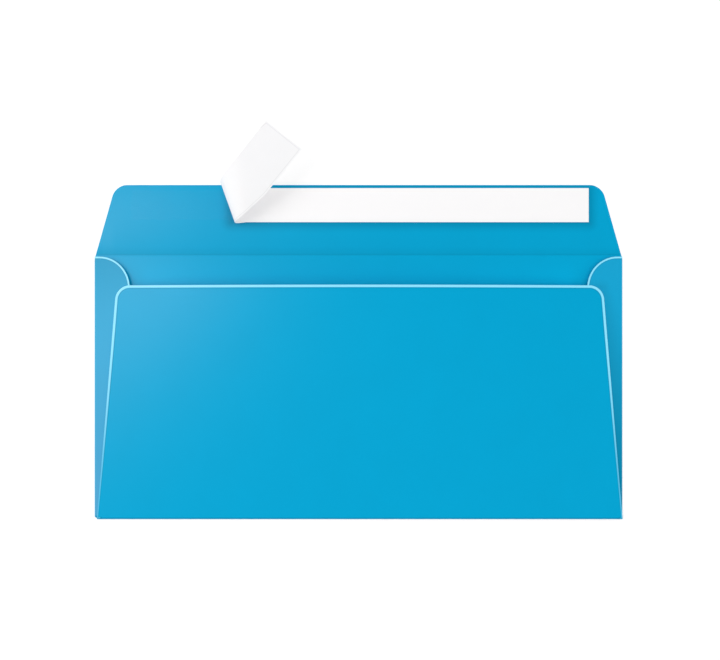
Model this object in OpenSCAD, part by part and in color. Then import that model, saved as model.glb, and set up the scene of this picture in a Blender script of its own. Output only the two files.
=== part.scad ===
// Wallet envelope for long letters, back side up with its top flap open flat.
// One die-cut sheet is folded round the pocket. The seal on the flap is covered by a
// release liner, whose left end is peeled back in a cone-like curl.
// Origin: middle of the front panel's outer face. +X right, +Y to the flap, +Z up.

/* [Envelope] */
// Width between the side folds
body_w = 220; // [180:1:240]
// Height from the bottom fold to the flap crease
body_h = 110; // [100:1:130]
// Thickness of the paper
paper_t = 0.16; // [0.12:0.01:0.24]
// Air between the front panel and the side flaps
fold_gap = 0.12; // [0.08:0.01:0.3]

/* [Top flap] */
// Height of the flap from the crease to its free edge
flap_h = 29.3; // [26:0.1:40]
// Step in from the side fold to the flap at the crease
flap_step = 0.4; // [0.2:0.1:1.5]
// Taper of each flap side over the flap's height
flap_taper = 8.3; // [2:0.1:14]
// Corner radius at the flap's free edge
flap_round = 6.3; // [2:0.1:9]

/* [Back panel] */
// Height of the back panel from the bottom fold
back_h = 97; // [80:0.5:98]
// Step in from the side fold to the back panel at the bottom
back_step = 0.5; // [0.5:0.1:2]
// Distance by which the back panel sits off centre, to the right
back_shift = 0.5; // [0:0.1:0.5]
// Taper of each side of the back panel over its height
back_taper = 8.4; // [4:0.1:10]
// Corner radius at the back panel's free edge
back_round = 6.2; // [2:0.1:9]
// Rise of the back panel at the middle of the mouth
mouth_gape = 6.5; // [5:0.1:9]

/* [Side flaps] */
// Width of each side flap
side_w = 15; // [14:0.5:22]
// Radius of the side flap's upper corner
side_round = 13; // [6:0.5:13.5]
// Cut back of a side flap at its upper end
side_top_step = 0.6; // [0.4:0.1:2]
// Cut back of a side flap at its lower end
side_foot_step = 0.7; // [0.6:0.1:3]
// Slant of a side flap's lower end over its width
side_foot_slant = 9; // [2:0.5:16]

/* [Seam glue] */
// Thickness of the seam glue's film
glue_t = 0.06; // [0.04:0.01:0.1]
// Width of the seam glue
glue_w = 3.5; // [2:0.1:4.5]
// Distance from the back panel's side edge to the glue
glue_inset = 0.8; // [0.5:0.1:1.5]
// Distance from the bottom fold and the mouth to the glue's ends
glue_end = 10; // [8:0.5:20]

/* [Seal] */
// Length of the release liner before it is peeled
liner_l = 192; // [150:1:196]
// Width of the release liner
liner_w = 14.2; // [10:0.1:17]
// Thickness of the release liner
liner_t = 0.09; // [0.06:0.01:0.16]
// Distance from the flap's free edge to the liner
liner_inset = 1.3; // [0.6:0.1:4]
// Thickness of the seal adhesive
seal_t = 0.05; // [0.03:0.01:0.1]
// Part of the liner's width, each side, that the adhesive leaves free
seal_margin = 1; // [0.3:0.1:2.5]

/* [Peeled end] */
// Length of the lower edge that is peeled off, from the liner's left end
peel_l = 49.2; // [47:0.1:60]
// Length of the curl along the lower edge
curl_l = 17; // [12:0.5:18]
// Angle of the curl's first bend line to the liner's length
curl_lean_first = 73; // [70:1:100]
// Angle of the curl's last bend line to the liner's length
curl_lean_last = 144; // [120:1:145]
// Angle that the peeled end turns through
curl_turn = 185; // [120:1:188]
// Extra width of the liner at its pull end
tab_flare = 3.8; // [0:0.1:5]
// Length of the lower edge over which the liner widens, from the curl's start
flare_l = 25.5; // [20:0.5:40]

/* [Hidden] */

crease_y = body_h / 2;
fold_y = -body_h / 2;

// Clearance on each face of the seam glue, so that its film stays between the layers
film_clear = 0.02;
seam_gap = glue_t + 2 * film_clear;

// Heights of the layers where the pocket is flat
side_z = paper_t + fold_gap;
back_z = side_z + paper_t + seam_gap;

// Inner and outer radii of the two folds
side_fold_in = fold_gap / 2;
side_fold_out = side_fold_in + paper_t;
foot_fold_in = (back_z - paper_t) / 2;
foot_fold_out = foot_fold_in + paper_t;

// Where the flat panels end and the folds start
hinge_x = body_w / 2 - side_fold_out;
hinge_y = fold_y + foot_fold_out;

// Facets along each form
corner_steps = 6;
fold_steps = 6;
across_steps = 12;
back_steps = 14;
side_steps = 14;
curl_steps = 16;
liner_steps = 2;

// Rise of the pocket's upper layer: none at the side folds and the bottom fold
function bow(x, y) = mouth_gape * cos(90 * min(abs(x), hinge_x) / hinge_x)
    * max(0, y - hinge_y) / back_h;

// Half widths of a tapered panel with round corners, as [distance from its base, half width]
function taper_rows(base, taper, height, round, steps) =
    let (lean = atan(taper / height),
         mid = height - round,
         mid_w = base - mid * tan(lean) - round / cos(lean),
         straight = mid + round * sin(lean))
    concat([for (i = [0:steps]) let (s = straight * i / steps) [s, base - s * tan(lean)]],
           [for (i = [1:corner_steps]) let (a = lean + (90 - lean) * i / corner_steps)
               [mid + round * sin(a), mid_w + round * cos(a)]]);

function reversed(list) = [for (i = [len(list) - 1:-1:0]) list[i]];
function column(grid, j) = [for (row = grid) row[j]];

// Two triangles for each cell of a grid of points
function skin(grid) = [
    for (i = [0:len(grid) - 2], j = [0:len(grid[0]) - 2])
        each let (a = grid[i][j], b = grid[i][j + 1], c = grid[i + 1][j + 1], d = grid[i + 1][j])
            [[a, c, b], [a, d, c]]];

// The edge wall between two lines of points
function wall(p, q) = [
    for (k = [0:len(p) - 2]) each [[p[k], p[k + 1], q[k + 1]], [p[k], q[k + 1], q[k]]]];

function mirrored(tris) = [for (t = tris) [for (p = reversed(t)) [0 - p[0], p[1], p[2]]]];
function flipped(tris) = [for (t = tris) reversed(t)];

// One closed solid from its triangles
module shell(tris) {
    polyhedron(points = [for (t = tris, p = t) p],
               faces = [for (i = [0:len(tris) - 1]) [3 * i, 3 * i + 1, 3 * i + 2]],
               convexity = 10);
}

// A closed sheet between an outer and an inner grid
function sheet(outer, inner) =
    let (last = len(outer) - 1, side = len(outer[0]) - 1)
    concat(skin(outer), flipped(skin(inner)),
           wall(outer[0], inner[0]), wall(inner[last], outer[last]),
           wall(column(inner, 0), column(outer, 0)),
           wall(column(outer, side), column(inner, side)));

// Upper and lower cut of the side flap at a distance from the side fold
function side_top(u) =
    let (straight = side_w - side_round, v = max(0, u - straight))
    crease_y - side_top_step - side_round + sqrt(max(0, pow(side_round, 2) - v * v));
function side_foot(u) = fold_y + side_foot_step + side_foot_slant * u / side_w;

// The main strip's rows from the flap's free edge to the back panel's free edge, for one
// half of the sheet. Each row is [half width, outer [y, z], inner [y, z], is back panel].
function flap_rows() = [
    for (r = reversed(taper_rows(body_w / 2 - flap_step, flap_taper, flap_h, flap_round, 3)))
        [r[1], [crease_y + r[0], 0], [crease_y + r[0], paper_t], false]];

function front_rows() = [
    for (i = [0:side_steps])
        let (y = side_top(0) + (side_foot(0) - side_top(0)) * i / side_steps)
        [hinge_x, [y, 0], [y, paper_t], false]];

// Half width of the back panel at its foot, on the right side (1) or on the left one (-1)
function back_base(side) = body_w / 2 - back_step + side * back_shift;

function foot_fold_rows(side) = [
    for (i = [0:fold_steps])
        let (a = 180 * i / fold_steps)
        [back_base(side),
         [hinge_y - foot_fold_out * sin(a), foot_fold_out - foot_fold_out * cos(a)],
         [hinge_y - foot_fold_in * sin(a), foot_fold_out - foot_fold_in * cos(a)], false]];

function back_rows(side) =
    let (rows = taper_rows(back_base(side), back_taper, back_h, back_round, back_steps))
    [for (i = [1:len(rows) - 1])
        let (y = hinge_y + rows[i][0])
        [rows[i][1], [y, back_z + paper_t], [y, back_z], true]];

function strip_point(row, j, face) =
    let (x = row[0] * j / across_steps, yz = row[face])
    [x, yz[0], yz[1] + (row[3] ? bow(x, yz[0]) : 0)];

function strip_grid(rows, face) = [
    for (row = rows) [for (j = [0:across_steps]) strip_point(row, j, face)]];

// Distances from the side fold at which the side flap's columns lie
function side_columns() = concat(
    [for (s = [1:2]) (side_w - side_round) * s / 2],
    [for (i = [1:corner_steps]) side_w - side_round + side_round * sin(90 * i / corner_steps)]);

// The side flap from the front panel's edge, round the fold and in over the panel
function side_grid(radius, z) = [
    for (i = [0:side_steps])
        let (t = i / side_steps, y = side_top(0) + (side_foot(0) - side_top(0)) * t)
        concat(
            [for (k = [0:fold_steps]) let (a = -90 + 180 * k / fold_steps)
                [hinge_x + radius * cos(a), y, side_fold_out + radius * sin(a)]],
            [for (u = side_columns())
                let (x = body_w / 2 - u,
                     yu = side_top(u) + (side_foot(u) - side_top(u)) * t)
                [x, yu, z + bow(x, yu)]])];

// The triangles of one half of the sheet, drawn to the right of the middle
function half_sheet(side) =
    let (rows = concat(flap_rows(), front_rows(), foot_fold_rows(side), back_rows(side)),
         outer = strip_grid(rows, 1),
         inner = strip_grid(rows, 2),
         last = len(rows) - 1,
         first_side = len(flap_rows()),
         last_side = first_side + side_steps,
         side_outer = side_grid(side_fold_out, side_z + paper_t),
         side_inner = side_grid(side_fold_in, side_z),
         rim = fold_steps + corner_steps + 2,
         edge_out = column(outer, across_steps),
         edge_in = column(inner, across_steps))
    concat(
        skin(outer), flipped(skin(inner)),
        wall(outer[0], inner[0]), wall(inner[last], outer[last]),
        wall([for (i = [0:first_side]) edge_out[i]], [for (i = [0:first_side]) edge_in[i]]),
        wall([for (i = [last_side:last]) edge_out[i]], [for (i = [last_side:last]) edge_in[i]]),
        skin(side_outer), flipped(skin(side_inner)),
        wall(side_outer[0], side_inner[0]),
        wall(side_inner[side_steps], side_outer[side_steps]),
        wall(column(side_outer, rim), column(side_inner, rim)));

module envelope_sheet() {
    color("deepskyblue") shell(concat(half_sheet(1), mirrored(half_sheet(-1))));
}

// The glue line beside the back panel's slanted edge, between the side flap and the panel
function seam_grid(side, z) =
    let (lean = back_taper / back_h)
    [for (i = [0:back_steps])
        let (y = crease_y - (body_h - back_h) - glue_end
                 - (back_h - 2 * glue_end) * i / back_steps,
             edge = back_base(side) - lean * (y - hinge_y) - glue_inset)
        [for (s = [0:2]) let (x = edge - glue_w + glue_w * s / 2) [x, y, z + bow(x, y)]]];

function seam_solid(side) =
    let (z = side_z + paper_t + film_clear)
    sheet(seam_grid(side, z), seam_grid(side, z + glue_t));

module seam_glue_right() {
    color("ivory") shell(seam_solid(1));
}

module seam_glue_left() {
    color("ivory") shell(mirrored(seam_solid(-1)));
}

// Edges of the liner on the flap
liner_top = crease_y + flap_h - liner_inset;
liner_foot = liner_top - liner_w;

module seal_adhesive() {
    color("whitesmoke")
        translate([-liner_l / 2 + seal_margin, liner_foot + seal_margin, paper_t])
            cube([liner_l - 2 * seal_margin, liner_w - 2 * seal_margin, seal_t]);
}

// Place on the lower edge where the curl starts, and where the liner ends
curl_x = peel_l - liner_l / 2;
tab_x = -liner_l / 2;

// The lower edge of the liner as it was cut: it widens towards the pull end
function liner_edge(x) = liner_foot - tab_flare * min(1, max(0, curl_x - x) / flare_l);

// Share of the curl's change that is done at a share of its length. It is quick at the
// start, where the liner leaves the adhesive.
function curl_share(t) = sqrt(t);

// Bend lines of the curl in the flat liner, as [foot, direction, angle]
curl_weight = [for (k = [0:curl_steps - 1]) sin(180 * curl_share((k + 0.5) / curl_steps))];
curl_lines = [
    for (k = [0:curl_steps - 1])
        let (t = (k + 0.5) / curl_steps,
             x = curl_x - curl_l * t,
             lean = curl_lean_first + (curl_lean_last - curl_lean_first) * curl_share(t))
        [[x, liner_edge(x), 0], [cos(lean), sin(lean), 0],
         curl_turn * curl_weight[k] / (curl_weight * [for (w = curl_weight) 1])]];

// Turning by an angle about a bend line, as a 4 by 4 matrix
function bend(line, angle) =
    let (d = line[1], c = cos(angle), s = sin(angle), m = 1 - c,
         r = [[c + d[0] * d[0] * m, d[0] * d[1] * m, d[1] * s],
              [d[0] * d[1] * m, c + d[1] * d[1] * m, -d[0] * s],
              [-d[1] * s, d[0] * s, c]],
         q = line[0] - r * line[0])
    [for (i = [0:2]) concat(r[i], q[i]), [0, 0, 0, 1]];

still = [for (i = [0:3]) [for (j = [0:3]) i == j ? 1 : 0]];

// The turn that the liner has made before each bend line, and after the last
function curl_frames() = [
    for (k = 0, m = still; k <= curl_steps;
         m = k < curl_steps ? m * bend(curl_lines[k], curl_lines[k][2]) : m, k = k + 1) m];

// One line of points across the liner, carried to its place in the curl
function across(matrix, low, high, z) = [
    for (j = [0:liner_steps])
        let (p = low + (high - low) * j / liner_steps, q = matrix * [p[0], p[1], z, 1])
        [q[0], q[1], q[2] + paper_t + seal_t]];

// Where a bend line meets the liner's upper edge
function line_head(line) = line[0] + line[1] * (liner_top - line[0][1]) / line[1][1];

// Place where the liner reaches its full width, on the lower and on the upper edge
flare_x = curl_x - flare_l;
flare_head_x = (line_head(curl_lines[curl_steps - 1])[0] + tab_x) / 2;

function liner_grid(height) =
    let (frames = curl_frames(), tab = frames[curl_steps])
    concat(
        [across(still, [liner_l / 2, liner_foot], [liner_l / 2, liner_top], height)],
        [for (k = [0:curl_steps - 1])
            let (line = curl_lines[k])
            across(frames[k] * bend(line, line[2] / 2), line[0], line_head(line),
                   height / cos(line[2] / 2))],
        [across(tab, [flare_x, liner_edge(flare_x)], [flare_head_x, liner_top], height),
         across(tab, [tab_x, liner_edge(tab_x)], [tab_x, liner_top], height)]);

module release_liner() {
    color("white") shell(sheet(liner_grid(liner_t), liner_grid(0)));
}

envelope_sheet();
release_liner();
seal_adhesive();
seam_glue_left();
seam_glue_right();
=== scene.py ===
import math
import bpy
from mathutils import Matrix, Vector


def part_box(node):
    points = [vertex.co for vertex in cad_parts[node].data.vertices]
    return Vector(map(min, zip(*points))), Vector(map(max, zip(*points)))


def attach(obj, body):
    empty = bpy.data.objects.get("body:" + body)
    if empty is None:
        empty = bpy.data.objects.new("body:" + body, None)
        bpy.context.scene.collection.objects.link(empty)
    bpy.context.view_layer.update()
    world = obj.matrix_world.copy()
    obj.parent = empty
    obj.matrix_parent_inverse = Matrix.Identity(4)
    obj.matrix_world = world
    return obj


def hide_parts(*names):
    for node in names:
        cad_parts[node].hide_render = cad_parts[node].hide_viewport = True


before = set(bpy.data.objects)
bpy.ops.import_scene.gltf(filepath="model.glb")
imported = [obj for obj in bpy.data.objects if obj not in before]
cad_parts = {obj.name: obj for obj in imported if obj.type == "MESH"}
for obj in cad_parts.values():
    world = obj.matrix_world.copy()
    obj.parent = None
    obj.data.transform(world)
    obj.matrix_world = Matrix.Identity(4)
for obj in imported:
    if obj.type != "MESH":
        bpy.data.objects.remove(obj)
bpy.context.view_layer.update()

from types import SimpleNamespace

import bmesh
import bpy
from mathutils import Matrix, Vector

mm = 0.001
sheetLow, sheetHigh = (Vector(corner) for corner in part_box("envelope_sheet"))

# camera, straight above the table
photoView = {
    "widthMm": 300.5,      # what the photo's width spans in the plane of the paper
    "heightMm": 320.0,     # camera above the table
    "centreMm": (0.63, 23.83),
    "sensorMm": 36.0,
}


def placeCamera(view):
    data = bpy.data.cameras.new("photoCamera")
    data.sensor_fit = "HORIZONTAL"
    data.sensor_width = view["sensorMm"]
    data.lens = view["sensorMm"] * view["heightMm"] / view["widthMm"]
    data.clip_start = 0.01
    camera = bpy.data.objects.new("photoCamera", data)
    camera.location = Vector((*view["centreMm"], view["heightMm"])) * mm
    bpy.context.scene.collection.objects.link(camera)
    bpy.context.scene.camera = camera


placeCamera(photoView)
print("camera placed")

# one soft key from the left, a lamp that only draws the sheen on the paper, and a white sky
lamps = {
    # name: place (m), aim (m), size (m), power (W), gives a sheen instead of light
    "keyLamp": ((-0.54, 0.14, 0.66), (0, 0.015, 0), 0.6, 1.45, False),
    "sheenLamp": ((-0.46, 0.12, 0.78), (0, 0.015, 0), 0.33, 16.0, True),
}
skyLevel = 0.885


def hangLamp(name, place, aim, size, power, sheen):
    data = bpy.data.lights.new(name, "AREA")
    data.shape = "DISK"
    data.size = size
    data.energy = power
    lamp = bpy.data.objects.new(name, data)
    lamp.location = place
    lamp.rotation_euler = (Vector(aim) - Vector(place)).to_track_quat("-Z", "Y").to_euler()
    lamp.visible_glossy = sheen
    lamp.visible_diffuse = not sheen
    bpy.context.scene.collection.objects.link(lamp)


def mathAt(tree, kind, first, second):
    node = tree.nodes.new("ShaderNodeMath")
    node.operation = kind
    for socket, value in zip(node.inputs, (first, second)):
        if isinstance(value, (int, float)):
            socket.default_value = value
        else:
            tree.links.new(value, socket)
    return node.outputs[0]


def rangeAt(tree, value, low, high, toLow, toHigh, smooth=False):
    node = tree.nodes.new("ShaderNodeMapRange")
    node.interpolation_type = "SMOOTHSTEP" if smooth else "LINEAR"
    ends = (("From Min", low), ("From Max", high), ("To Min", toLow), ("To Max", toHigh))
    for name, number in ends:
        node.inputs[name].default_value = number
    tree.links.new(value, node.inputs["Value"])
    return node.outputs[0]


def backdropRays(tree):
    # 1 for rays that show the backdrop: straight, mirrored or through something clear
    path = tree.nodes.new("ShaderNodeLightPath")
    seen = mathAt(tree, "MAXIMUM", path.outputs["Is Camera Ray"], path.outputs["Is Glossy Ray"])
    return mathAt(tree, "MAXIMUM", seen, path.outputs["Is Transmission Ray"])


def whiteWorld(level):
    world = bpy.data.worlds.new("studioWorld")
    bpy.context.scene.world = world
    world.use_nodes = True
    tree = world.node_tree
    background = tree.nodes["Background"]
    background.inputs["Color"].default_value = (1, 1, 1, 1)
    strength = rangeAt(tree, backdropRays(tree), 0, 1, level, 1.0)
    tree.links.new(strength, background.inputs["Strength"])


for lampName, lampFacts in lamps.items():
    hangLamp(lampName, *lampFacts)
whiteWorld(skyLevel)
bpy.context.scene.view_settings.view_transform = "Standard"
print("lamps hung")


# small steps that the materials share
def newMaterial(name):
    material = bpy.data.materials.new(name)
    material.use_nodes = True
    tree = material.node_tree
    return material, tree, tree.nodes["Principled BSDF"]


def objectPoint(tree):
    return tree.nodes.new("ShaderNodeTexCoord").outputs["Object"]


def noiseAt(tree, place, scale, detail, roughness=0.6):
    noise = tree.nodes.new("ShaderNodeTexNoise")
    noise.inputs["Scale"].default_value = scale
    noise.inputs["Detail"].default_value = detail
    noise.inputs["Roughness"].default_value = roughness
    tree.links.new(place, noise.inputs["Vector"])
    return noise.outputs["Fac"]


def noiseRange(tree, noise, toLow, toHigh):
    # most of a noise's values lie between 0.3 and 0.7
    return rangeAt(tree, noise, 0.3, 0.7, toLow, toHigh)


def smoothStep(tree, value, low, high, toLow, toHigh):
    return rangeAt(tree, value, low, high, toLow, toHigh, smooth=True)


def mixColour(tree, amount, first, second, blend="MIX"):
    node = tree.nodes.new("ShaderNodeMix")
    node.data_type = "RGBA"
    node.blend_type = blend
    for socket, value in ((node.inputs[0], amount), (node.inputs[6], first), (node.inputs[7], second)):
        if isinstance(value, (int, float)):
            socket.default_value = value
        elif isinstance(value, tuple):
            socket.default_value = (*value, 1)
        else:
            tree.links.new(value, socket)
    return node.outputs[2]


def shaded(tree, colour, tone):
    grey = tree.nodes.new("ShaderNodeCombineColor")
    for socket in grey.inputs[:3]:
        tree.links.new(tone, socket)
    return mixColour(tree, 1.0, colour, grey.outputs[0], "MULTIPLY")


def bumpFrom(tree, shader, height, strength, depth):
    bump = tree.nodes.new("ShaderNodeBump")
    bump.inputs["Strength"].default_value = strength
    bump.inputs["Distance"].default_value = depth
    tree.links.new(height, bump.inputs["Height"])
    tree.links.new(bump.outputs["Normal"], shader.inputs["Normal"])


def attributeAt(tree, name):
    node = tree.nodes.new("ShaderNodeAttribute")
    node.attribute_name = name
    return node.outputs["Fac"]


def fadedDepth(tree, distance, reach, depth, power=1.5):
    # 1 - depth at distance 0, rising to 1 at reach, fast at first
    left = mathAt(tree, "SUBTRACT", 1.0, mathAt(tree, "DIVIDE", distance, reach))
    left = mathAt(tree, "POWER", mathAt(tree, "MAXIMUM", left, 0.0), power)
    return mathAt(tree, "SUBTRACT", 1.0, mathAt(tree, "MULTIPLY", left, depth))


def boxDistance(tree, x, y, low, high):
    # distance outside the upright box from low to high, 0 inside it
    outside = []
    for place, start, end in ((x, low[0], high[0]), (y, low[1], high[1])):
        fromMiddle = mathAt(tree, "SUBTRACT", place, (start + end) / 2)
        fromMiddle = mathAt(tree, "ABSOLUTE", fromMiddle, 0.0)
        beyond = mathAt(tree, "MAXIMUM", mathAt(tree, "SUBTRACT", fromMiddle, (end - start) / 2), 0.0)
        outside.append(mathAt(tree, "MULTIPLY", beyond, beyond))
    return mathAt(tree, "SQRT", mathAt(tree, "ADD", *outside), 0.0)


bluePaperLook = {
    # lengths in mm, depths as shares of the colour
    "colour": (0.0, 0.372, 0.65),
    "paleEdge": (0.28, 0.78, 1.0),     # painted highlight along the cut edges
    "rimSoft": (0.7, 1.0),             # where the pale edge ends, in widths of the rim
    "paleFoot": 0.3,                   # how much of the painted highlight is left at the bottom
    "paleReach": 75.0,
    "rimShadeTone": (0.0, 0.05, 0.1),     # painted shade line just inside the painted highlight
    "rimShadeDepth": 0.3,
    "rimShadeStart": (0.95, 1.1),         # in widths of the rim
    "rimShadeEnd": (1.15, 1.35),
    "foldHighlightMix": 0.22,                   # painted highlight along the side folds
    "foldWidth": 0.5,
    "roughness": 0.34,
    "specular": 0.03,
    "mottle": 0.012,
    "mottleScale": 55,
    "fibreScale": 1500,
    "fibreBump": 0.15,
    "fibreDepth": 0.04,
    "flankLightTone": (0.2, 0.385, 0.62),   # painted light: a paler tone on the side flaps
    "flankMix": 0.42,
    "creaseY": 55.2,                   # middle of the scored line
    "creaseWidth": 0.6,
    # painted shade in the scored line
    "creaseDepth": 0.1,
    "creaseSoft": 0.2,
    "bendDepth": 0.06,                 # painted shade on the bent paper above the line
    "bendReach": 4.0,
    "flapDepth": 0.03,                 # painted shade on the opened flap against the pocket
    "linerBox": ((-53.5, 68.6), (96.2, 82.2)),   # round which the liner's shade falls
    "linerDepth": 0.3,
    "linerReach": 4.6,
    "seamDepth": 0.45,                 # the shade beside the back panel
    "throatLift": 0.12,                # painted light in the mouth, for the light that comes through the paper
    "throatSoft": 0.1,
    "throatY": (42.4, 54.0),           # from the mouth up, and out to the side flaps
    "throatX": (86.0, 95.0),
    "footDepth": 0.3,                  # painted shade along the bottom fold
    "footReach": 1.2,
}


def throatLight(tree, x, y, look):
    # painted light: the front panel lighter just inside the mouth
    mouth, throatEnd = (v * mm for v in look["throatY"])
    inner, outer = (v * mm for v in look["throatX"])
    lift = smoothStep(tree, y, mouth, throatEnd, look["throatLift"], 0.0)
    lift = mathAt(tree, "MULTIPLY", lift, rangeAt(tree, y, mouth - look["throatSoft"] * mm, mouth, 0.0, 1.0))
    between = smoothStep(tree, mathAt(tree, "ABSOLUTE", x, 0.0), inner, outer, 1.0, 0.0)
    return mathAt(tree, "ADD", mathAt(tree, "MULTIPLY", lift, between), 1.0)


def bluePaperTone(tree, place, x, y, look):
    mottle = noiseAt(tree, place, look["mottleScale"], 4)
    tone = noiseRange(tree, mottle, 1 - look["mottle"], 1 + look["mottle"])
    # painted shade in the crease, on the bent paper above it and over the opened flap
    crease, soft = look["creaseY"] * mm, look["creaseSoft"] * mm
    onFlap = smoothStep(tree, y, crease - soft, crease + soft, 0.0, 1.0)
    fromCrease = mathAt(tree, "ABSOLUTE", mathAt(tree, "SUBTRACT", y, crease), 0.0)
    creaseShade = smoothStep(tree, fromCrease, 0.0, look["creaseWidth"] * mm, look["creaseDepth"], 0.0)
    bendShade = smoothStep(tree, fromCrease, 0.0, look["bendReach"] * mm,
                      look["bendDepth"] + look["flapDepth"], look["flapDepth"])
    creaseAndFlapShade = mathAt(tree, "ADD", creaseShade, mathAt(tree, "MULTIPLY", bendShade, onFlap))
    low, high = (tuple(v * mm for v in corner) for corner in look["linerBox"])
    fromLiner = boxDistance(tree, x, y, low, high)
    footTop = sheetLow.y + look["footReach"] * mm
    # painted shades: crease and flap, shadow round the liner, beside the back panel, along the bottom fold;
    # and painted light in the mouth
    shades = [
        mathAt(tree, "SUBTRACT", 1.0, creaseAndFlapShade),
        fadedDepth(tree, fromLiner, look["linerReach"] * mm, look["linerDepth"]),
        fadedDepth(tree, attributeAt(tree, "seam"), 1.0, look["seamDepth"]),
        smoothStep(tree, y, sheetLow.y, footTop, 1 - look["footDepth"], 1.0),
        throatLight(tree, x, y, look),
    ]
    for shade in shades:
        tone = mathAt(tree, "MULTIPLY", tone, shade)
    return tone, onFlap


def bluePaper(look):
    material, tree, shader = newMaterial("bluePaper")
    place = objectPoint(tree)
    axes = tree.nodes.new("ShaderNodeSeparateXYZ")
    tree.links.new(place, axes.inputs[0])
    x, y = axes.outputs["X"], axes.outputs["Y"]
    tone, onFlap = bluePaperTone(tree, place, x, y, look)
    body = shaded(tree, look["colour"], tone)
    # painted light: a paler tone on the side flaps, most at the left flap's foot
    onFlank = mathAt(tree, "MULTIPLY", attributeAt(tree, "flank"), look["flankMix"])
    body = mixColour(tree, onFlank, body, look["flankLightTone"])

    # painted highlight along the cut edges, fainter towards the bottom, with a painted shade line just
    # inside it
    rim = attributeAt(tree, "rim")
    edge = smoothStep(tree, rim, *look["rimSoft"], 1, 0)
    # painted shade line just inside the painted highlight
    edgeLine = mathAt(tree, "MULTIPLY", smoothStep(tree, rim, *look["rimShadeStart"], 0, look["rimShadeDepth"]),
                     smoothStep(tree, rim, *look["rimShadeEnd"], 1, 0))
    body = mixColour(tree, edgeLine, body, look["rimShadeTone"])
    fade = smoothStep(tree, y, sheetLow.y, sheetLow.y + look["paleReach"] * mm, look["paleFoot"], 1.0)
    # painted highlight along the side folds, below the crease
    foldStart = sheetHigh.x - look["foldWidth"] * mm
    sideFold = smoothStep(tree, mathAt(tree, "ABSOLUTE", x, 0.0), foldStart, sheetHigh.x, 0.0, 1.0)
    sideFold = mathAt(tree, "MULTIPLY", sideFold, mathAt(tree, "SUBTRACT", 1.0, onFlap))
    foldHighlight = mathAt(tree, "MULTIPLY", sideFold, look["foldHighlightMix"])
    paintedHighlight = mathAt(tree, "MAXIMUM", mathAt(tree, "MULTIPLY", edge, fade), foldHighlight)
    tree.links.new(mixColour(tree, paintedHighlight, body, look["paleEdge"]), shader.inputs["Base Color"])
    shader.inputs["Roughness"].default_value = look["roughness"]
    shader.inputs["Specular IOR Level"].default_value = look["specular"]
    fibres = noiseAt(tree, place, look["fibreScale"], 2)
    bumpFrom(tree, shader, fibres, look["fibreBump"], look["fibreDepth"] * mm)
    return material


linerLook = {
    "colour": (0.962, 0.952, 0.957),
    "peeledColour": (0.988, 0.978, 0.983),    # painted light on the loose end, for the light that comes through it
    "edgeLineColour": (0.86, 0.85, 0.86),
    "lineStart": (0.55, 0.8),          # in widths of the strip outside the line
    "lineEnd": (0.8, 1.05),
    "roughness": 0.42,
    "specular": 0.07,
    "tone": (0.99, 1.0),
    "cloudScale": 140,
    "fibreScale": 900,
    "fibreBump": 0.1,
    "fibreDepth": 0.03,                # mm
}


def linerPaper(look):
    material, tree, shader = newMaterial("linerPaper")
    place = objectPoint(tree)
    tone = noiseRange(tree, noiseAt(tree, place, look["cloudScale"], 2), *look["tone"])
    # painted light on the loose end
    body = mixColour(tree, attributeAt(tree, "peeled"), look["colour"], look["peeledColour"])
    paper = shaded(tree, body, tone)
    edgeLine = attributeAt(tree, "edgeLine")
    line = mathAt(tree, "MULTIPLY", smoothStep(tree, edgeLine, *look["lineStart"], 0, 1),
                  smoothStep(tree, edgeLine, *look["lineEnd"], 1, 0))
    tree.links.new(mixColour(tree, line, paper, look["edgeLineColour"]), shader.inputs["Base Color"])
    shader.inputs["Roughness"].default_value = look["roughness"]
    shader.inputs["Specular IOR Level"].default_value = look["specular"]
    fibres = noiseAt(tree, place, look["fibreScale"], 3)
    bumpFrom(tree, shader, fibres, look["fibreBump"], look["fibreDepth"] * mm)
    return material


sealLook = {"tint": (0.3, 0.6, 0.8, 1), "alpha": 0.01, "specular": 0.1, "roughness": (0.3, 0.4),
            "rippleScale": 420, "bump": 0.2, "depth": 0.1}    # depth in mm


def clearSeal(look):
    material, tree, shader = newMaterial("clearSeal")
    ripple = noiseAt(tree, objectPoint(tree), look["rippleScale"], 2)
    shader.inputs["Base Color"].default_value = look["tint"]
    tree.links.new(noiseRange(tree, ripple, *look["roughness"]), shader.inputs["Roughness"])
    shader.inputs["Specular IOR Level"].default_value = look["specular"]
    shader.inputs["Alpha"].default_value = look["alpha"]
    bumpFrom(tree, shader, ripple, look["bump"], look["depth"] * mm)
    return material


glueLook = {"colour": (1.0, 1.0, 1.0), "speckScale": 700, "tone": (0.75, 0.9), "roughness": 0.45}


def driedGlue(look):
    material, tree, shader = newMaterial("driedGlue")
    specks = noiseRange(tree, noiseAt(tree, objectPoint(tree), look["speckScale"], 3), *look["tone"])
    tree.links.new(shaded(tree, look["colour"], specks), shader.inputs["Base Color"])
    shader.inputs["Roughness"].default_value = look["roughness"]
    return material


# small steps that the pieces share
def steps(low, high, count):
    return [low + (high - low) * i / count for i in range(count + 1)]


def everything(bm):
    return bm.verts[:] + bm.edges[:] + bm.faces[:]


def cutAlong(bm, axis, places):
    normal = Vector((1, 0, 0)) if axis == "x" else Vector((0, 1, 0))
    for place in places:
        bmesh.ops.bisect_plane(bm, geom=everything(bm), dist=1e-7, plane_co=normal * place, plane_no=normal)


def distanceTo(point, lines):
    best = 1.0
    for start, end in lines:
        run = end - start
        share = max(0.0, min(1.0, (point - start).dot(run) / run.length_squared))
        best = min(best, (point - start - run * share).length)
    return best


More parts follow.
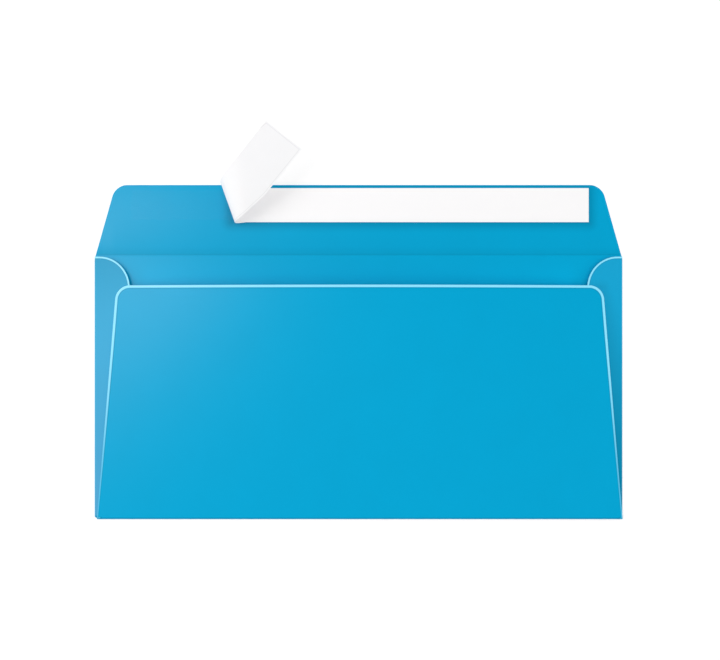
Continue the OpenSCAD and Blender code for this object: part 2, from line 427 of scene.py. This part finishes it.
def makePiece(bm, name, material, sharpAngle=None):
    mesh = bpy.data.meshes.new(name)
    bm.to_mesh(mesh)
    bm.free()
    if sharpAngle is not None:
        mesh.shade_smooth()
        mesh.set_sharp_from_angle(angle=math.radians(sharpAngle))
    mesh.materials.append(material)
    piece = bpy.data.objects.new(name, mesh)
    bpy.context.scene.collection.objects.link(piece)
    return piece


# the envelope: one sheet, cut flat as its outer face and then folded
sheetCut = {
    # sizes of the blank in mm
    "paper": 0.16,
    "foldGap": 0.12,        # air between the front panel and the side flaps
    "layerGap": 0.10,       # seam glue between a side flap and the back panel
    "crease": 55.0,         # y of the flap's crease
    "flapStep": 0.4,
    "flapTaper": 8.3,
    "flapRound": 6.3,
    "backHeight": 97.0,
    "backStep": 0.5,
    "backShift": 0.5,       # the back panel sits this much to the right
    "backTaper": 8.4,
    "backRound": 6.2,
    "sideWidth": 15.0,
    "sideRound": 13.0,
    "sideTopStep": 0.6,
    "sideFootStep": 0.7,
    "sideFootSlant": 9.0,
    "gape": 6.5,
    "groove": 0.06,         # depth of the scored crease on its inner side
    "grooveHalf": 0.24,
    "rowStep": 4.0,         # from the back panel's free edge to the first cut that lets it bend
    "backRim": 1.15,        # width of the painted highlight along the back panel's edge
    "backRimFoot": 0.55,    # the same at its foot
    "sideRim": 0.8,
    "rimFade": 0.35,        # the painted shade line beside it, in widths of the rim
    "seamReach": (60.0, 9.0),    # width of the shade beside the back panel, at its foot and at the mouth
    "seamLift": 0.55,       # how much of it is gone at the mouth
    "leftShade": 1.35,      # the left side flap's even shade, which deepens towards the mouth
    "flankFade": 0.95,      # how much of that flap's painted light is gone at the mouth
    "flankRight": 0.1,      # the right flap's painted light at the mouth
    "rimFull": 0.8,         # share of the height where the pale line has its full width
    "cornerCuts": 14,
    "foldCuts": 10,
    "rowCuts": 26,
    "columnCuts": 54,
    "sideColumnCuts": 6,
    "sharpAngle": 45,
}


def sheetPlan(cut):
    # lengths in metres that the blank and its folds share
    plan = SimpleNamespace(paper=cut["paper"] * mm, crease=cut["crease"] * mm)
    plan.halfWidth = sheetHigh.x
    plan.flapTop = sheetHigh.y
    plan.sideOut = cut["foldGap"] * mm / 2 + plan.paper
    plan.footOut = (plan.paper + (cut["foldGap"] + cut["layerGap"]) * mm) / 2 + plan.paper
    plan.hingeX = plan.halfWidth - plan.sideOut
    plan.hingeY = sheetLow.y + plan.footOut
    plan.sideArc = math.pi * plan.sideOut        # length of the fold in the blank
    plan.footArc = math.pi * plan.footOut
    plan.backHigh = cut["backHeight"] * mm
    plan.backFoot = plan.hingeY - plan.footArc
    plan.backEnd = plan.backFoot - plan.backHigh
    plan.sideEdge = plan.hingeX + plan.sideArc + cut["sideWidth"] * mm - plan.sideOut
    plan.sideTop = plan.crease - cut["sideTopStep"] * mm
    plan.sideFoot = sheetLow.y + cut["sideFootStep"] * mm
    return plan


def backBase(cut, plan, side):
    return plan.halfWidth + (side * cut["backShift"] - cut["backStep"]) * mm


def blankCorners(bm, cut, plan, side):
    flapIn = plan.halfWidth - cut["flapStep"] * mm
    backIn = backBase(cut, plan, side)
    places = {
        "flapTip": (flapIn - cut["flapTaper"] * mm, plan.flapTop),
        "flapBase": (flapIn, plan.crease),
        "sideHead": (plan.hingeX, plan.sideTop),
        "sideTail": (plan.hingeX, plan.sideFoot),
        "footIn": (backIn, plan.hingeY),
        "backIn": (backIn, plan.backFoot),
        "backTip": (backIn - cut["backTaper"] * mm, plan.backEnd),
        "sideTip": (plan.sideEdge, plan.sideTop),
        "sideTipFoot": (plan.sideEdge, plan.sideFoot + cut["sideFootSlant"] * mm),
    }
    return {name: bm.verts.new((side * x, y, 0)) for name, (x, y) in places.items()}


def roundCorner(bm, corner, radius, angle, segments):
    offset = radius / math.tan(math.radians(angle) / 2)
    bmesh.ops.bevel(bm, geom=[corner], offset=offset, offset_type="OFFSET", segments=segments,
                    profile=0.5, affect="VERTICES", material=-1, clamp_overlap=False)


def layBlank(bm, cut, plan):
    left, right = (blankCorners(bm, cut, plan, side) for side in (-1, 1))
    panels = (("flapTip", "flapBase"), ("flapBase", "sideHead", "sideTail", "footIn"),
              ("footIn", "backIn"), ("backIn", "backTip"))
    for names in panels:
        bm.faces.new([left[name] for name in names] + [right[name] for name in reversed(names)])
    for points in (left, right):
        bm.faces.new([points[name] for name in ("sideHead", "sideTip", "sideTipFoot", "sideTail")])
    bmesh.ops.recalc_face_normals(bm, faces=bm.faces[:])
    if bm.faces[:][0].normal.z > 0:       # the outer face looks down on the front
        bmesh.ops.reverse_faces(bm, faces=bm.faces[:])
    flapLean = math.degrees(math.atan2(cut["flapTaper"] * mm, plan.flapTop - plan.crease))
    backLean = math.degrees(math.atan2(cut["backTaper"], cut["backHeight"]))
    for points in (left, right):
        for name, radius, angle in (("flapTip", "flapRound", 90 + flapLean),
                                    ("backTip", "backRound", 90 + backLean), ("sideTip", "sideRound", 90)):
            roundCorner(bm, points[name], cut[radius] * mm, angle, cut["cornerCuts"])


def panelOf(face, plan):
    centre = face.calc_center_median()
    if centre.y < plan.backFoot:
        return "back"
    return "side" if abs(centre.x) > plan.hingeX else "front"


def freeLines(bm, plan, panel):
    faces = [face for face in bm.faces if panelOf(face, plan) == panel]
    edges = [edge for face in faces for edge in face.edges if edge.is_boundary]
    return [tuple(vert.co.copy() for vert in edge.verts) for edge in edges]


def insetRims(bm, cut, plan):
    # rings of points along the cut edges carry the borders of the painted highlights and of the painted
    # shade lines beside them
    for panel, width in (("back", cut["backRim"] * mm), ("side", cut["sideRim"] * mm)):
        for ring in (width, cut["rimFade"] * width):
            for face in [f for f in bm.faces if panelOf(f, plan) == panel and len(f.verts) > 6]:
                bmesh.ops.inset_individual(bm, faces=[face], thickness=ring, use_even_offset=True)


def cutForBending(bm, cut, plan):
    groove = cut["grooveHalf"] * mm
    foldEnd = plan.hingeX + plan.sideArc
    cutAlong(bm, "y", [plan.crease - groove, plan.crease, plan.crease + groove])
    cutAlong(bm, "y", steps(plan.backEnd + cut["rowStep"] * mm, plan.backFoot, cut["rowCuts"])
             + steps(plan.backFoot, plan.hingeY, cut["foldCuts"])
             + steps(plan.sideFoot, plan.sideTop, cut["rowCuts"]))
    cutAlong(bm, "x", steps(-plan.hingeX, plan.hingeX, cut["columnCuts"]))
    columns = (steps(plan.hingeX, foldEnd, cut["foldCuts"])[1:]
               + steps(foldEnd, plan.sideEdge, cut["sideColumnCuts"])[1:-1])
    for side in (-1, 1):
        cutAlong(bm, "x", [side * x for x in columns])
    bmesh.ops.triangulate(bm, faces=[face for face in bm.faces if len(face.verts) > 4])


def markPaper(bm, cut, plan, backLines, sideLines):
    # rim: distance from a cut edge in widths of its painted highlight, up to 2
    # seam shade: distance from the back panel's edge over the shade's width there, up to 2
    # flank: how much painted light a side flap gets, as a paler tone
    rim, seam, flank = [bm.verts.layers.float.new(name) for name in ("rim", "seam", "flank")]
    footReach, mouthReach = cut["seamReach"]
    for vert in bm.verts:
        vert[rim] = vert[seam] = 2.0
        if vert.co.y < plan.backFoot:
            up = (plan.backFoot - vert.co.y) / plan.backHigh
            grown = min(1.0, up / cut["rimFull"])
            width = cut["backRimFoot"] + (cut["backRim"] - cut["backRimFoot"]) * grown
            vert[rim] = min(2.0, distanceTo(vert.co, backLines) / (width * mm))
        elif abs(vert.co.x) > plan.hingeX + 1e-6 and vert.co.y > plan.hingeY:
            up = (vert.co.y - plan.hingeY) / plan.backHigh
            vert[rim] = min(2.0, distanceTo(vert.co, sideLines) / (cut["sideRim"] * mm))
            vert[flank] = max(0.0, 1.0 - cut["flankFade"] * up) if vert.co.x < 0 else cut["flankRight"] * up
            vert[seam] = 2.0 - cut["leftShade"] * up
            if vert.co.x > 0:
                # where the point comes to lie against the back panel's edge
                folded = plan.hingeX - max(0.0, vert.co.x - plan.hingeX - plan.sideArc)
                backEdge = backBase(cut, plan, 1) - cut["backTaper"] * mm * up
                beside = max(folded - backEdge, vert.co.y - plan.hingeY - plan.backHigh, 0.0)
                reach = (footReach + (mouthReach - footReach) * up) * mm
                vert[seam] = min(2.0, beside / reach + cut["seamLift"] * up)


def bow(x, y, cut, plan):
    # how far the gaping pocket lifts its upper layers there
    across = math.cos(math.pi / 2 * min(abs(x), plan.hingeX) / plan.hingeX)
    return cut["gape"] * mm * across * max(0.0, y - plan.hingeY) / plan.backHigh


def foldedPlace(place, cut, plan):
    x, y = place.x, place.y
    if y > plan.hingeY and abs(x) > plan.hingeX + 1e-9:      # side flap
        side = 1 if x > 0 else -1
        run = abs(x) - plan.hingeX
        if run < plan.sideArc:
            turn = run / plan.sideOut
            return (side * (plan.hingeX + plan.sideOut * math.sin(turn)), y,
                    plan.sideOut - plan.sideOut * math.cos(turn))
        x = side * (plan.hingeX - (run - plan.sideArc))
        return x, y, 2 * plan.sideOut + bow(x, y, cut, plan)
    if y < plan.hingeY:                                      # bottom fold and back panel
        run = plan.hingeY - y
        if run < plan.footArc:
            turn = run / plan.footOut
            return (x, plan.hingeY - plan.footOut * math.sin(turn),
                    plan.footOut - plan.footOut * math.cos(turn))
        y = plan.hingeY + run - plan.footArc
        return x, y, 2 * plan.footOut + bow(x, y, cut, plan)
    return place


def foldSheet(cut):
    plan = sheetPlan(cut)
    bm = bmesh.new()
    layBlank(bm, cut, plan)
    backLines = freeLines(bm, plan, "back")
    # only a side flap's upper end has a painted highlight
    sideLines = [line for line in freeLines(bm, plan, "side") if min(end.y for end in line) > 0]
    insetRims(bm, cut, plan)
    cutForBending(bm, cut, plan)
    markPaper(bm, cut, plan, backLines, sideLines)
    for vert in bm.verts:
        vert.co = foldedPlace(vert.co, cut, plan)
    bm.normal_update()
    bmesh.ops.solidify(bm, geom=bm.faces[:], thickness=plan.paper)
    for vert in bm.verts:
        if abs(vert.co.y - plan.crease) < 1e-6 and abs(vert.co.z - plan.paper) < 1e-6:
            vert.co.z -= cut["groove"] * mm
    return bm


foldedSheet = makePiece(foldSheet(sheetCut), "foldedSheet", bluePaper(bluePaperLook), sheetCut["sharpAngle"])
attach(foldedSheet, "root")
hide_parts("envelope_sheet")
print("sheet folded:", len(foldedSheet.data.vertices), "points")

# the release liner: a flat strip, cut across at each bend line and then curled
linerCut = {
    # sizes in mm and degrees
    "length": 192.0,
    "width": 14.2,
    "thick": 0.09,
    "inset": 1.3,           # from the flap's free edge
    "lift": 0.21,           # paper and adhesive under the liner
    "peel": 49.2,
    "curl": 17.0,
    "leanFirst": 73.0,
    "leanLast": 144.0,
    "turn": 185.0,
    "flare": 3.8,
    "flareLength": 25.5,
    "bends": 44,
    "edgeLine": 0.9,         # from the cut edge to the grey line
    "edgeLineRing": 0.3,
    "stillPart": 2.0,       # length of the curl's start that has no grey line
    "peelSoft": 4.0,
    "sharpAngle": 45,
}


def linerPlan(cut):
    plan = SimpleNamespace(top=sheetHigh.y - cut["inset"] * mm, right=cut["length"] * mm / 2)
    plan.foot = plan.top - cut["width"] * mm
    plan.curlX = cut["peel"] * mm - plan.right
    plan.flareX = plan.curlX - cut["flareLength"] * mm
    plan.flareFoot = plan.foot - cut["flare"] * mm
    return plan


def bendLines(cut, plan):
    # foot, direction and angle of each bend; the direction changes fastest at the curl's start
    lines = []
    shares = [math.sqrt((k + 0.5) / cut["bends"]) for k in range(cut["bends"])]
    weights = [math.sin(math.pi * share) for share in shares]
    for k, (share, weight) in enumerate(zip(shares, weights)):
        x = plan.curlX - cut["curl"] * mm * (k + 0.5) / cut["bends"]
        y = plan.foot - cut["flare"] * mm * min(1.0, (plan.curlX - x) / (cut["flareLength"] * mm))
        lean = math.radians(cut["leanFirst"] + (cut["leanLast"] - cut["leanFirst"]) * share)
        along = Vector((math.cos(lean), math.sin(lean), 0))
        lines.append((Vector((x, y, 0)), along, math.radians(cut["turn"]) * weight / sum(weights)))
    return lines


def curlAlong(bm, bends):
    up = Vector((0, 0, 1))
    beyond = []                # the points that each bend carries, in the flat liner
    for place, along, angle in bends:
        outward = up.cross(along)
        beyond.append([vert for vert in bm.verts if (vert.co - place).dot(outward) > 1e-6])
    for (place, along, angle), verts in reversed(list(zip(bends, beyond))):
        bmesh.ops.rotate(bm, cent=place, matrix=Matrix.Rotation(angle, 3, along), verts=verts)


def peelLiner(cut):
    plan = linerPlan(cut)
    bm = bmesh.new()
    corners = [(plan.right, plan.foot), (plan.right, plan.top), (-plan.right, plan.top),
               (-plan.right, plan.flareFoot), (plan.flareX, plan.flareFoot), (plan.curlX, plan.foot)]
    blank = bm.faces.new([bm.verts.new((x, y, 0)) for x, y in corners])
    places = [vert.co.copy() for vert in blank.verts]
    peeledLines = list(zip(places[2:5], places[3:6]))
    bm.normal_update()
    for width in (cut["edgeLine"] * mm, cut["edgeLineRing"] * mm):
        bmesh.ops.inset_individual(bm, faces=[blank], thickness=width, use_even_offset=True)
    cutAlong(bm, "y", steps(plan.foot, plan.top, 4)[1:-1])
    bends = bendLines(cut, plan)
    for place, along, angle in bends:
        across = along.cross(Vector((0, 0, 1)))
        bmesh.ops.bisect_plane(bm, geom=everything(bm), dist=1e-7, plane_co=place, plane_no=across)

    # edge line: distance from the loose end's edges over that of the grey line, up to 2
    # peeled: 1 where the liner has come off and gets painted light
    edgeLine, peeled = [bm.verts.layers.float.new(name) for name in ("edgeLine", "peeled")]
    for vert in bm.verts:
        loose = plan.curlX - vert.co.x
        vert[peeled] = max(0.0, min(1.0, loose / (cut["peelSoft"] * mm)))
        vert[edgeLine] = 2.0
        if loose > cut["stillPart"] * mm:
            vert[edgeLine] = min(2.0, distanceTo(vert.co, peeledLines) / (cut["edgeLine"] * mm))
    curlAlong(bm, bends)
    bmesh.ops.recalc_face_normals(bm, faces=bm.faces[:])
    flat = max(bm.faces, key=lambda face: face.calc_center_median().x)
    if flat.normal.z > 0:
        bmesh.ops.reverse_faces(bm, faces=bm.faces[:])
    bmesh.ops.translate(bm, verts=bm.verts[:], vec=(0, 0, cut["lift"] * mm))
    bm.normal_update()
    bmesh.ops.solidify(bm, geom=bm.faces[:], thickness=cut["thick"] * mm)
    return bm


peeledLiner = makePiece(peelLiner(linerCut), "peeledLiner", linerPaper(linerLook), linerCut["sharpAngle"])
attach(peeledLiner, "root")
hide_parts("release_liner")
print("liner peeled:", len(peeledLiner.data.vertices), "points")

# the seal adhesive, a clear film a hair clear of the papers on both sides
sealCut = {"round": 0.7, "roundCuts": 6, "soft": 0.012, "softCuts": 2, "clear": 0.006}    # in mm


def pourSeal(cut):
    low, high = (Vector(corner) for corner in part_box("seal_adhesive"))
    clear = cut["clear"] * mm
    bm = bmesh.new()
    ring = [(low.x, low.y), (high.x, low.y), (high.x, high.y), (low.x, high.y)]
    film = bm.faces.new([bm.verts.new((x, y, low.z + clear)) for x, y in ring])
    made = bmesh.ops.extrude_face_region(bm, geom=[film])
    raised = [item for item in made["geom"] if isinstance(item, bmesh.types.BMVert)]
    bmesh.ops.translate(bm, verts=raised, vec=(0, 0, high.z - low.z - 2 * clear))
    upright = [edge for edge in bm.edges if abs(edge.verts[0].co.z - edge.verts[1].co.z) > 1e-6]
    bmesh.ops.bevel(bm, geom=upright, offset=cut["round"] * mm, segments=cut["roundCuts"], profile=0.5,
                    affect="EDGES", material=-1)
    crown = max(vert.co.z for vert in bm.verts) - 1e-6
    topEdges = [edge for edge in bm.edges if min(vert.co.z for vert in edge.verts) > crown]
    rim = [edge for edge in topEdges if len({face.normal.z > 0.5 for face in edge.link_faces}) > 1]
    bmesh.ops.bevel(bm, geom=rim, offset=cut["soft"] * mm, segments=cut["softCuts"], profile=0.5,
                    affect="EDGES", material=-1)
    bmesh.ops.recalc_face_normals(bm, faces=bm.faces[:])
    return bm


sealFilm = makePiece(pourSeal(sealCut), "sealFilm", clearSeal(sealLook))
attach(sealFilm, "root")
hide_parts("seal_adhesive")
print("seal poured")

# the seam glue keeps its own solids
glueCoat = driedGlue(glueLook)
for node in ("seam_glue_left", "seam_glue_right"):
    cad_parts[node].data.materials.clear()
    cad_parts[node].data.materials.append(glueCoat)
print("glue dried")

# a pale table, which keeps the shadows
floorLook = {"half": 0.75, "tone": (0.9, 0.9, 0.9, 1), "roughness": 0.9, "glow": 0.17}    # half in m


def layFloor(look):
    bm = bmesh.new()
    bmesh.ops.create_grid(bm, x_segments=1, y_segments=1, size=look["half"])
    material, tree, shader = newMaterial("whiteFloor")
    shader.inputs["Base Color"].default_value = look["tone"]
    shader.inputs["Roughness"].default_value = look["roughness"]
    shader.inputs["Specular IOR Level"].default_value = 0.0
    shader.inputs["Emission Color"].default_value = (1, 1, 1, 1)
    glow = rangeAt(tree, backdropRays(tree), 0, 1, 0.0, look["glow"])
    tree.links.new(glow, shader.inputs["Emission Strength"])
    return makePiece(bm, "whiteFloor", material)


floor = layFloor(floorLook)
print("floor laid")
